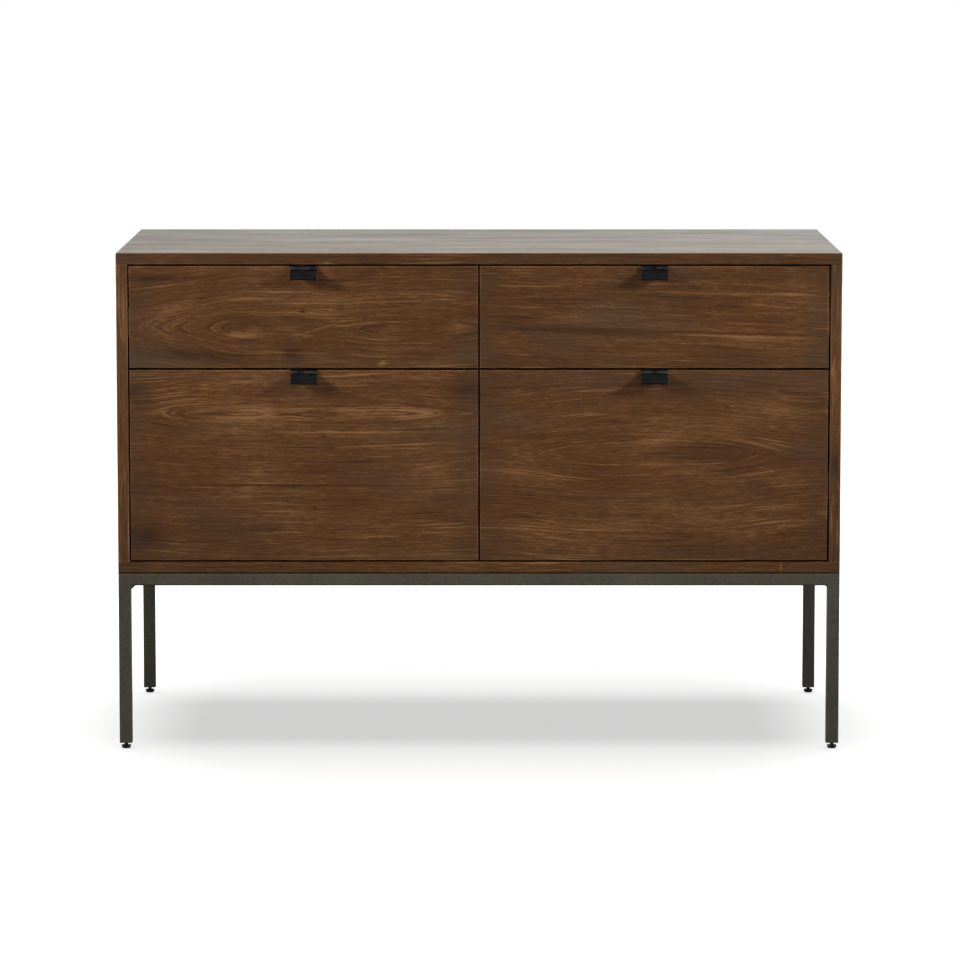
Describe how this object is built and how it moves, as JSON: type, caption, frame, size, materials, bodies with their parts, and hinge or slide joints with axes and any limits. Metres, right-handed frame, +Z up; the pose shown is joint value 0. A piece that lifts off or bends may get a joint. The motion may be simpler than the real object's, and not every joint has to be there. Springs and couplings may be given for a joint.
{
  "type": "filing cabinet",
  "caption": "Low wooden filing credenza with shallow drawers over file drawers, black tab pulls and a slim square-tube base on levelling feet.",
  "frame": {"origin": "on the floor under the middle of the bounding box", "axes": "+X along the width to the right of someone facing the drawers, +Y from the drawer fronts to the back, +Z up"},
  "size_m": [1.1, 0.563, 0.76],
  "materials": {
    "case_wood": "dark brown stain under satin lacquer",
    "drawer_wood": "clear satin lacquer",
    "base_metal": "satin gunmetal coating",
    "pull_black": "satin black coating",
    "slide_steel": "bright zinc plating",
    "rail_steel": "satin black coating",
    "screw_steel": "zinc plating",
    "glide_black": "matt moulded"
  },
  "bodies": {
    "cabinet": {"back_panel": "case_wood", "base_mounting_screws": "screw_steel", "bottom_panel": "case_wood", "centre_divider": "case_wood", "front_base_rail": "base_metal", "front_left_leg": "base_metal", "front_right_leg": "base_metal", "left_base_rail": "base_metal", "left_side_panel": "case_wood", "leg_end_plugs": "screw_steel", "rear_base_rail": "base_metal", "rear_left_leg": "base_metal", "rear_right_leg": "base_metal", "right_base_rail": "base_metal", "right_side_panel": "case_wood", "slide_case_members": "slide_steel", "top_panel": "case_wood"},
    "upper_left_drawer": {"upper_left_drawer_bottom": "drawer_wood", "upper_left_drawer_box_back": "drawer_wood", "upper_left_drawer_box_front": "drawer_wood", "upper_left_drawer_box_left_side": "drawer_wood", "upper_left_drawer_box_right_side": "drawer_wood", "upper_left_drawer_front": "case_wood", "upper_left_drawer_pull": "pull_black", "upper_left_drawer_slide_drawer_members": "slide_steel"},
    "upper_left_runners": {"upper_left_drawer_slide_middle_members": "slide_steel"},
    "upper_right_drawer": {"upper_right_drawer_bottom": "drawer_wood", "upper_right_drawer_box_back": "drawer_wood", "upper_right_drawer_box_front": "drawer_wood", "upper_right_drawer_box_left_side": "drawer_wood", "upper_right_drawer_box_right_side": "drawer_wood", "upper_right_drawer_front": "case_wood", "upper_right_drawer_pull": "pull_black", "upper_right_drawer_slide_drawer_members": "slide_steel"},
    "upper_right_runners": {"upper_right_drawer_slide_middle_members": "slide_steel"},
    "lower_left_drawer": {"lower_left_drawer_bottom": "drawer_wood", "lower_left_drawer_box_back": "drawer_wood", "lower_left_drawer_box_front": "drawer_wood", "lower_left_drawer_box_left_side": "drawer_wood", "lower_left_drawer_box_right_side": "drawer_wood", "lower_left_drawer_file_rails": "rail_steel", "lower_left_drawer_front": "case_wood", "lower_left_drawer_pull": "pull_black", "lower_left_drawer_slide_drawer_members": "slide_steel"},
    "lower_left_runners": {"lower_left_drawer_slide_middle_members": "slide_steel"},
    "lower_right_drawer": {"lower_right_drawer_bottom": "drawer_wood", "lower_right_drawer_box_back": "drawer_wood", "lower_right_drawer_box_front": "drawer_wood", "lower_right_drawer_box_left_side": "drawer_wood", "lower_right_drawer_box_right_side": "drawer_wood", "lower_right_drawer_file_rails": "rail_steel", "lower_right_drawer_front": "case_wood", "lower_right_drawer_pull": "pull_black", "lower_right_drawer_slide_drawer_members": "slide_steel"},
    "lower_right_runners": {"lower_right_drawer_slide_middle_members": "slide_steel"},
    "front_left_foot": {"front_left_levelling_foot": "glide_black"},
    "front_right_foot": {"front_right_levelling_foot": "glide_black"},
    "rear_left_foot": {"rear_left_levelling_foot": "glide_black"},
    "rear_right_foot": {"rear_right_levelling_foot": "glide_black"}
  },
  "joints": [
    {"name": "upper_left_drawer_slide", "type": "slide", "parent": "cabinet", "child": "upper_left_drawer", "axis": [0, -1, 0], "range_m": [0, 0.45]},
    {"name": "upper_left_runner_slide", "type": "slide", "parent": "cabinet", "child": "upper_left_runners", "axis": [0, -1, 0], "range_m": [0, 0.225]},
    {"name": "upper_right_drawer_slide", "type": "slide", "parent": "cabinet", "child": "upper_right_drawer", "axis": [0, -1, 0], "range_m": [0, 0.45]},
    {"name": "upper_right_runner_slide", "type": "slide", "parent": "cabinet", "child": "upper_right_runners", "axis": [0, -1, 0], "range_m": [0, 0.225]},
    {"name": "lower_left_drawer_slide", "type": "slide", "parent": "cabinet", "child": "lower_left_drawer", "axis": [0, -1, 0], "range_m": [0, 0.45]},
    {"name": "lower_left_runner_slide", "type": "slide", "parent": "cabinet", "child": "lower_left_runners", "axis": [0, -1, 0], "range_m": [0, 0.225]},
    {"name": "lower_right_drawer_slide", "type": "slide", "parent": "cabinet", "child": "lower_right_drawer", "axis": [0, -1, 0], "range_m": [0, 0.45]},
    {"name": "lower_right_runner_slide", "type": "slide", "parent": "cabinet", "child": "lower_right_runners", "axis": [0, -1, 0], "range_m": [0, 0.225]},
    {"name": "front_left_foot_screw", "type": "slide", "parent": "cabinet", "child": "front_left_foot", "axis": [0, 0, 1], "range_m": [-0.01, 0.0035]},
    {"name": "front_right_foot_screw", "type": "slide", "parent": "cabinet", "child": "front_right_foot", "axis": [0, 0, 1], "range_m": [-0.01, 0.0035]},
    {"name": "rear_left_foot_screw", "type": "slide", "parent": "cabinet", "child": "rear_left_foot", "axis": [0, 0, 1], "range_m": [-0.01, 0.0035]},
    {"name": "rear_right_foot_screw", "type": "slide", "parent": "cabinet", "child": "rear_right_foot", "axis": [0, 0, 1], "range_m": [-0.01, 0.0035]}
  ],
  "couplings": [
    {"joint": "upper_left_runner_slide", "follows": "upper_left_drawer_slide", "ratio": 0.5},
    {"joint": "upper_right_runner_slide", "follows": "upper_right_drawer_slide", "ratio": 0.5},
    {"joint": "lower_left_runner_slide", "follows": "lower_left_drawer_slide", "ratio": 0.5},
    {"joint": "lower_right_runner_slide", "follows": "lower_right_drawer_slide", "ratio": 0.5}
  ]
}
